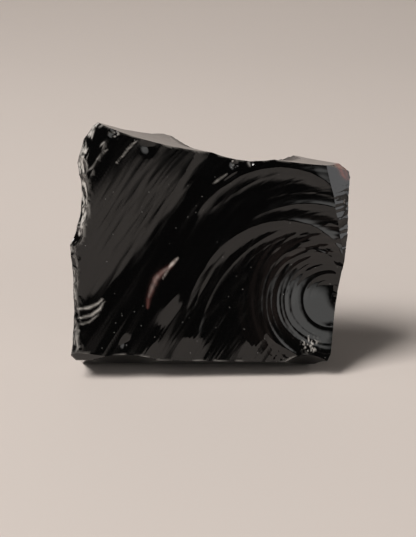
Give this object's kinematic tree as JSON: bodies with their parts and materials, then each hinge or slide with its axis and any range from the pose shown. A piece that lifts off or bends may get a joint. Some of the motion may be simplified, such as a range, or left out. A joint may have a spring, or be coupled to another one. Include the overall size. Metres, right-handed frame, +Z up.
{
  "type": "obsidian chunk",
  "caption": "Broken chunk of black volcanic glass with a broad rippled front face, curved flake scars on its back and sides and a flat resting face.",
  "frame": {"origin": "middle of the chunk's outer box, on the surface it rests on", "axes": "+X to the right along the broad front face, +Y away from the viewer, +Z up; the front face looks towards -Y"},
  "size_m": [0.08, 0.0474, 0.0726],
  "materials": {
    "obsidian": "natural break, mirror bright, with crushed pale edges"
  },
  "bodies": {
    "root": {"obsidian_chunk": "obsidian"}
  },
  "joints": []
}
